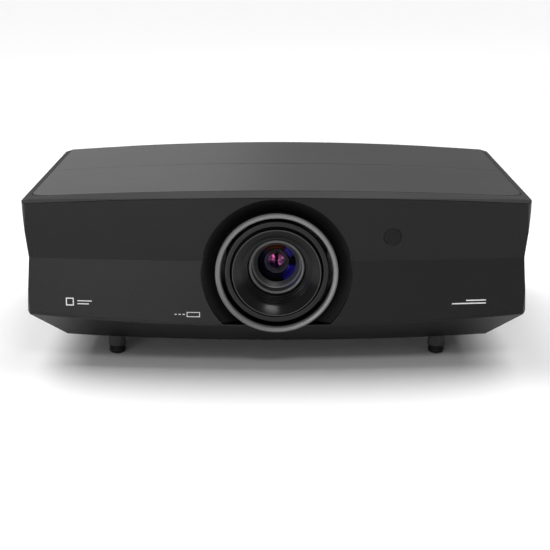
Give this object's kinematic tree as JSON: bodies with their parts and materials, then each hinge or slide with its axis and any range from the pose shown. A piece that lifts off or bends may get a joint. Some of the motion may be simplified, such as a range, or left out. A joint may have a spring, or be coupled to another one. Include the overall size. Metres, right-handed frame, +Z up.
{
  "type": "home projector",
  "caption": "Wide, low projector with an arched top, a creased front, a recessed shifting zoom lens in a satin ring, a hinged lens cover and screw feet.",
  "frame": {"origin": "on the table under the middle of the cabinet, between the feet", "axes": "+X to the right seen from the front, +Y towards the back, +Z up; the lens faces -Y"},
  "size_m": [0.498, 0.331, 0.1792],
  "materials": {
    "cabinet_dark": "fine moulded texture, near black",
    "cabinet_top": "fine moulded texture, dark grey",
    "base_black": "fine moulded texture, black",
    "satin_ring": "satin anodised",
    "lens_black": "gloss black",
    "lens_metal": "machined, dark anodised",
    "glass": "coated optical glass",
    "ir_plastic": "dark infrared window",
    "brass": "turned",
    "rubber": "moulded",
    "steel": "ground",
    "screw_black": "black oxide",
    "aluminium": "cast and machined",
    "board": "green circuit board",
    "copper": "copper tube",
    "inner_plastic": "black moulding",
    "phosphor": "phosphor layer on a metal disc"
  },
  "bodies": {
    "casing": {"base_pan": "base_black", "front_bezel": "cabinet_dark", "lens_surround": "base_black", "lens_trim_ring": "satin_ring", "top_frame": "cabinet_top", "rear_top_panel": "cabinet_top", "door_hinges": "steel", "left_side_cover": "cabinet_dark", "right_side_cover": "cabinet_dark", "rear_cover": "cabinet_dark", "io_panel": "inner_plastic", "ir_window": "ir_plastic", "case_screws": "screw_black", "threaded_inserts": "brass", "slide_rods": "steel", "lens_mount": "aluminium", "optical_engine": "aluminium", "laser_module": "aluminium", "wheel_motor": "steel", "dmd_board": "board", "heat_sink": "aluminium", "heat_pipes": "copper", "main_board": "board", "power_supply": "board", "speakers": "inner_plastic", "fan_frames": "inner_plastic", "power_inlet": "inner_plastic", "io_connectors": "steel", "keypad_board": "board"},
    "door": {"lens_access_door": "cabinet_top"},
    "slide_carriage": {"slide_plate": "aluminium", "lift_rods": "steel"},
    "lens": {"lift_plate": "aluminium", "lens_barrel": "lens_metal", "lens_hood": "lens_black", "front_lens": "glass", "inner_lens": "glass", "rear_lens": "glass"},
    "focus_ring": {"focus_ring": "lens_metal"},
    "zoom_ring": {"zoom_ring": "inner_plastic"},
    "lift_dial": {"lift_dial": "inner_plastic"},
    "slide_dial": {"slide_dial": "inner_plastic"},
    "phosphor_wheel": {"phosphor_wheel": "phosphor"},
    "left_fan": {"left_fan_rotor": "inner_plastic"},
    "right_fan": {"right_fan_rotor": "inner_plastic"},
    "engine_fan": {"engine_fan_rotor": "inner_plastic"},
    "power_button": {"power_button": "inner_plastic"},
    "enter_button": {"enter_button": "inner_plastic"},
    "up_button": {"up_button": "inner_plastic"},
    "down_button": {"down_button": "inner_plastic"},
    "left_button": {"left_button": "inner_plastic"},
    "right_button": {"right_button": "inner_plastic"},
    "front_left_tip": {"front_left_foot_tip": "rubber"},
    "front_left_screw": {"front_left_foot_screw": "inner_plastic"},
    "front_right_tip": {"front_right_foot_tip": "rubber"},
    "front_right_screw": {"front_right_foot_screw": "inner_plastic"},
    "rear_left_tip": {"rear_left_foot_tip": "rubber"},
    "rear_left_screw": {"rear_left_foot_screw": "inner_plastic"},
    "rear_right_tip": {"rear_right_foot_tip": "rubber"},
    "rear_right_screw": {"rear_right_foot_screw": "inner_plastic"}
  },
  "joints": [
    {"name": "door_hinge", "type": "hinge", "parent": "casing", "child": "door", "pos_m": [0, -0.0155, 0.173], "axis": [-1, 0, 0], "range_deg": [0, 50]},
    {"name": "lens_slide", "type": "slide", "parent": "casing", "child": "slide_carriage", "axis": [1, 0, 0], "range_m": [-0.0025, 0.0025]},
    {"name": "lens_lift", "type": "slide", "parent": "slide_carriage", "child": "lens", "axis": [0, 0, 1], "range_m": [-0.003, 0.003]},
    {"name": "focus_turn", "type": "hinge", "parent": "lens", "child": "focus_ring", "pos_m": [0, -0.1535, 0.0993], "axis": [0, 1, 0], "range_deg": [-60, 60]},
    {"name": "zoom_turn", "type": "hinge", "parent": "lens", "child": "zoom_ring", "pos_m": [0, -0.1255, 0.0993], "axis": [0, 1, 0], "range_deg": [-25, 25]},
    {"name": "lift_dial_turn", "type": "hinge", "parent": "casing", "child": "lift_dial", "pos_m": [0.082, -0.0955, 0.152], "axis": [1, 0, 0], "range_deg": [-70, 70]},
    {"name": "slide_dial_turn", "type": "hinge", "parent": "casing", "child": "slide_dial", "pos_m": [-0.084, -0.0955, 0.164], "axis": [0, 0, 1], "range_deg": [-60, 60]},
    {"name": "phosphor_spin", "type": "hinge", "parent": "casing", "child": "phosphor_wheel", "pos_m": [0.1, -0.0155, 0.101], "axis": [0, 1, 0], "continuous": true},
    {"name": "left_fan_spin", "type": "hinge", "parent": "casing", "child": "left_fan", "pos_m": [-0.226, -0.0155, 0.099], "axis": [1, 0, 0], "continuous": true},
    {"name": "right_fan_spin", "type": "hinge", "parent": "casing", "child": "right_fan", "pos_m": [0.226, 0.0495, 0.099], "axis": [1, 0, 0], "continuous": true},
    {"name": "engine_fan_spin", "type": "hinge", "parent": "casing", "child": "engine_fan", "pos_m": [0, 0.0785, 0.111], "axis": [0, 1, 0], "continuous": true},
    {"name": "front_left_height", "type": "slide", "parent": "casing", "child": "front_left_tip", "axis": [0, 0, -1], "range_m": [0, 0.012]},
    {"name": "front_left_turn", "type": "hinge", "parent": "front_left_tip", "child": "front_left_screw", "pos_m": [-0.165, -0.1105, 0.011], "axis": [0, 0, 1], "range_deg": [0, 2880]},
    {"name": "front_right_height", "type": "slide", "parent": "casing", "child": "front_right_tip", "axis": [0, 0, -1], "range_m": [0, 0.012]},
    {"name": "front_right_turn", "type": "hinge", "parent": "front_right_tip", "child": "front_right_screw", "pos_m": [0.165, -0.1105, 0.011], "axis": [0, 0, 1], "range_deg": [0, 2880]},
    {"name": "rear_left_height", "type": "slide", "parent": "casing", "child": "rear_left_tip", "axis": [0, 0, -1], "range_m": [0, 0.012]},
    {"name": "rear_left_turn", "type": "hinge", "parent": "rear_left_tip", "child": "rear_left_screw", "pos_m": [-0.165, 0.1205, 0.011], "axis": [0, 0, 1], "range_deg": [0, 2880]},
    {"name": "rear_right_height", "type": "slide", "parent": "casing", "child": "rear_right_tip", "axis": [0, 0, -1], "range_m": [0, 0.012]},
    {"name": "rear_right_turn", "type": "hinge", "parent": "rear_right_tip", "child": "rear_right_screw", "pos_m": [0.165, 0.1205, 0.011], "axis": [0, 0, 1], "range_deg": [0, 2880]},
    {"name": "power_press", "type": "slide", "parent": "casing", "child": "power_button", "axis": [0, -1, 0], "range_m": [0, 0.0008], "stiffness_N_per_m": 1200, "springref_m": -0.0005},
    {"name": "enter_press", "type": "slide", "parent": "casing", "child": "enter_button", "axis": [0, -1, 0], "range_m": [0, 0.0008], "stiffness_N_per_m": 1200, "springref_m": -0.0005},
    {"name": "up_press", "type": "slide", "parent": "casing", "child": "up_button", "axis": [0, -1, 0], "range_m": [0, 0.0008], "stiffness_N_per_m": 1200, "springref_m": -0.0005},
    {"name": "down_press", "type": "slide", "parent": "casing", "child": "down_button", "axis": [0, -1, 0], "range_m": [0, 0.0008], "stiffness_N_per_m": 1200, "springref_m": -0.0005},
    {"name": "left_press", "type": "slide", "parent": "casing", "child": "left_button", "axis": [0, -1, 0], "range_m": [0, 0.0008], "stiffness_N_per_m": 1200, "springref_m": -0.0005},
    {"name": "right_press", "type": "slide", "parent": "casing", "child": "right_button", "axis": [0, -1, 0], "range_m": [0, 0.0008], "stiffness_N_per_m": 1200, "springref_m": -0.0005}
  ],
  "couplings": [
    {"joint": "lift_dial_turn", "follows": "lens_lift", "rad_per_m": 400},
    {"joint": "slide_dial_turn", "follows": "lens_slide", "rad_per_m": 400},
    {"joint": "front_left_turn", "follows": "front_left_height", "rad_per_m": 4188.8},
    {"joint": "front_right_turn", "follows": "front_right_height", "rad_per_m": 4188.8},
    {"joint": "rear_left_turn", "follows": "rear_left_height", "rad_per_m": 4188.8},
    {"joint": "rear_right_turn", "follows": "rear_right_height", "rad_per_m": 4188.8}
  ]
}
